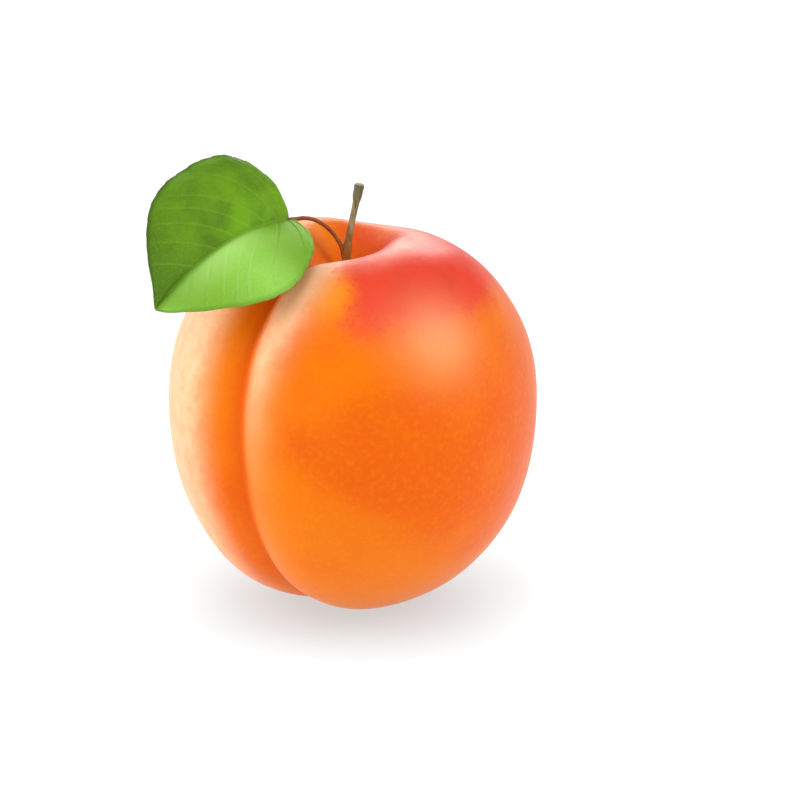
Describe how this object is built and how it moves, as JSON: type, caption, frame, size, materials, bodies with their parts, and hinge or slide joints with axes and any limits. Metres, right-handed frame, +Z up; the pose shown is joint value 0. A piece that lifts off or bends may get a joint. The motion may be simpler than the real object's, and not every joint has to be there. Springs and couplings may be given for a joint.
{
  "type": "apricot",
  "caption": "Ripe whole apricot with a deep suture and stem cavity, a short stub of fruiting twig and one folded leaf on its stalk, resting on a small flat spot.",
  "frame": {"origin": "middle of the small flat spot that the fruit rests on, under its stem axis", "axes": "+Z up along the stem axis, the suture within 3 degrees of -Y, +X completes a right-handed frame"},
  "size_m": [0.05, 0.0526, 0.0612],
  "materials": {
    "skin": "satin",
    "bark": "matte",
    "stalk": "satin",
    "leaf": "satin"
  },
  "bodies": {
    "root": {"fruit": "skin", "twig": "bark", "leaf_stalk": "stalk", "leaf_blade": "leaf"}
  },
  "joints": []
}
